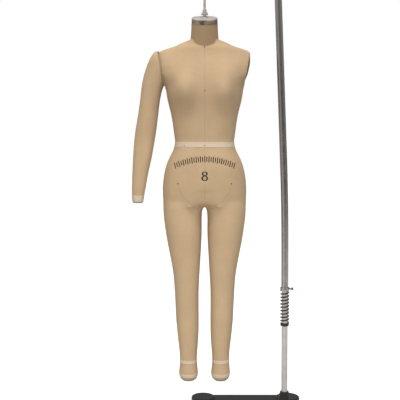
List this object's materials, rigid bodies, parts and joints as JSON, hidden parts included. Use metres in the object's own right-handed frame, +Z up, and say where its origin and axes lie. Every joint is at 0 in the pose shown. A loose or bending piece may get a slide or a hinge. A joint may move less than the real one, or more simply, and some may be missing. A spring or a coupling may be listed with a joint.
{
  "type": "dress form mannequin",
  "caption": "Full-body linen dress form with collapsing shoulders and a swinging arm, hung by a rod from a height-adjustable crook on a rolling base.",
  "frame": {"origin": "on the floor, under the middle of the object's bounding box", "axes": "+Z up, the form faces -Y, the pole stands at +X, and the fitted arm is at -X"},
  "size_m": [0.7238, 0.48, 2.032],
  "materials": {
    "linen": "plain woven natural linen stretched over the form",
    "tape": "pale woven tape",
    "shell": "moulded fibre shell",
    "board": "birch plywood",
    "cap_chrome": "bright plated",
    "pole_chrome": "bright plated tube with light scuffs",
    "black_steel": "black oxide",
    "base_black": "black textured enamel",
    "zinc": "zinc plated",
    "black_plastic": "moulded black",
    "wheel": "solid rubber tread"
  },
  "bodies": {
    "base": {"base_plate": "base_black", "pole_socket": "base_black", "socket_bolts": "zinc", "lower_tube": "pole_chrome", "stop_collar": "black_steel", "mast_spring": "black_steel", "caster_plates": "zinc", "caster_screws": "zinc"},
    "mast": {"upper_tube": "pole_chrome", "guide_bush": "black_plastic", "clamp_ring": "pole_chrome", "crook_end_cap": "black_plastic", "swivel_washers": "cap_chrome"},
    "thumbscrew": {"thumbscrew": "cap_chrome"},
    "form": {"torso_shell": "shell", "torso_cover": "linen", "hip_cover": "linen", "waist_tape": "tape", "neck_block": "shell", "neck_cover": "linen", "neck_cap": "cap_chrome", "hanger_board": "board", "pelvis_board": "board", "form_studs": "zinc", "rod_nuts": "cap_chrome", "swivel_nuts": "cap_chrome", "hanger_rod": "cap_chrome", "leg_cover_left": "linen", "leg_cover_right": "linen", "leg_shell_left": "shell", "leg_shell_right": "shell", "leg_top_boards": "board", "leg_end_plates": "board", "leg_tapes": "tape", "leg_bolts": "zinc", "shoulder_boards": "board", "shoulder_brackets": "zinc", "shoulder_hinge_pins": "zinc", "shoulder_cover_left": "linen", "shoulder_cover_right": "linen", "shoulder_spring_left": "zinc", "shoulder_spring_right": "zinc"},
    "shoulder_left": {"shoulder_cap_left": "board", "armhole_plate_left": "black_steel", "arm_pin": "zinc"},
    "shoulder_right": {"shoulder_cap_right": "board", "armhole_plate_right": "black_steel"},
    "arm": {"arm_body": "linen", "arm_top_plate": "black_steel", "wrist_plate": "zinc", "wrist_tape": "tape"},
    "caster_fork_1": {"caster_fork_1": "zinc"},
    "caster_wheel_1": {"caster_wheel_1": "wheel"},
    "caster_fork_2": {"caster_fork_2": "zinc"},
    "caster_wheel_2": {"caster_wheel_2": "wheel"},
    "caster_fork_3": {"caster_fork_3": "zinc"},
    "caster_wheel_3": {"caster_wheel_3": "wheel"},
    "caster_fork_4": {"caster_fork_4": "zinc"},
    "caster_wheel_4": {"caster_wheel_4": "wheel"}
  },
  "joints": [
    {"name": "mast_height", "type": "slide", "parent": "base", "child": "mast", "axis": [0, 0, 1], "range_m": [-0.03, 0.15], "deforming": ["mast_spring"]},
    {"name": "thumbscrew_turn", "type": "hinge", "parent": "mast", "child": "thumbscrew", "pos_m": [0.2943, 0, 0.619], "axis": [1, 0, 0], "range_deg": [0, 180]},
    {"name": "form_swivel", "type": "hinge", "parent": "mast", "child": "form", "pos_m": [-0.0615, 0, 1.99], "axis": [0, 0, 1], "continuous": true},
    {"name": "shoulder_collapse_left", "type": "hinge", "parent": "form", "child": "shoulder_left", "pos_m": [-0.2095, 0, 1.479], "axis": [0, -1, 0], "range_deg": [-15, 0], "stiffness_Nm_per_rad": 6, "springref_deg": 20.05, "deforming": ["shoulder_cover_left", "shoulder_spring_left"]},
    {"name": "shoulder_collapse_right", "type": "hinge", "parent": "form", "child": "shoulder_right", "pos_m": [0.0865, 0, 1.479], "axis": [0, -1, 0], "range_deg": [0, 15], "stiffness_Nm_per_rad": 6, "springref_deg": -20.05, "deforming": ["shoulder_cover_right", "shoulder_spring_right"]},
    {"name": "arm_swing", "type": "hinge", "parent": "shoulder_left", "child": "arm", "pos_m": [-0.23858, 0.004, 1.538], "axis": [-0.9792, 0, -0.2028], "range_deg": [-15, 40]},
    {"name": "caster_swivel_1", "type": "hinge", "parent": "base", "child": "caster_fork_1", "pos_m": [-0.0665, -0.188, 0.065], "axis": [0, 0, 1], "continuous": true},
    {"name": "caster_roll_1", "type": "hinge", "parent": "caster_fork_1", "child": "caster_wheel_1", "pos_m": [-0.0485, -0.188, 0.025], "axis": [0, 1, 0], "continuous": true},
    {"name": "caster_swivel_2", "type": "hinge", "parent": "base", "child": "caster_fork_2", "pos_m": [0.3095, -0.188, 0.065], "axis": [0, 0, 1], "continuous": true},
    {"name": "caster_roll_2", "type": "hinge", "parent": "caster_fork_2", "child": "caster_wheel_2", "pos_m": [0.3275, -0.188, 0.025], "axis": [0, 1, 0], "continuous": true},
    {"name": "caster_swivel_3", "type": "hinge", "parent": "base", "child": "caster_fork_3", "pos_m": [0.3095, 0.188, 0.065], "axis": [0, 0, 1], "continuous": true},
    {"name": "caster_roll_3", "type": "hinge", "parent": "caster_fork_3", "child": "caster_wheel_3", "pos_m": [0.3275, 0.188, 0.025], "axis": [0, 1, 0], "continuous": true},
    {"name": "caster_swivel_4", "type": "hinge", "parent": "base", "child": "caster_fork_4", "pos_m": [-0.0665, 0.188, 0.065], "axis": [0, 0, 1], "continuous": true},
    {"name": "caster_roll_4", "type": "hinge", "parent": "caster_fork_4", "child": "caster_wheel_4", "pos_m": [-0.0485, 0.188, 0.025], "axis": [0, 1, 0], "continuous": true}
  ]
}
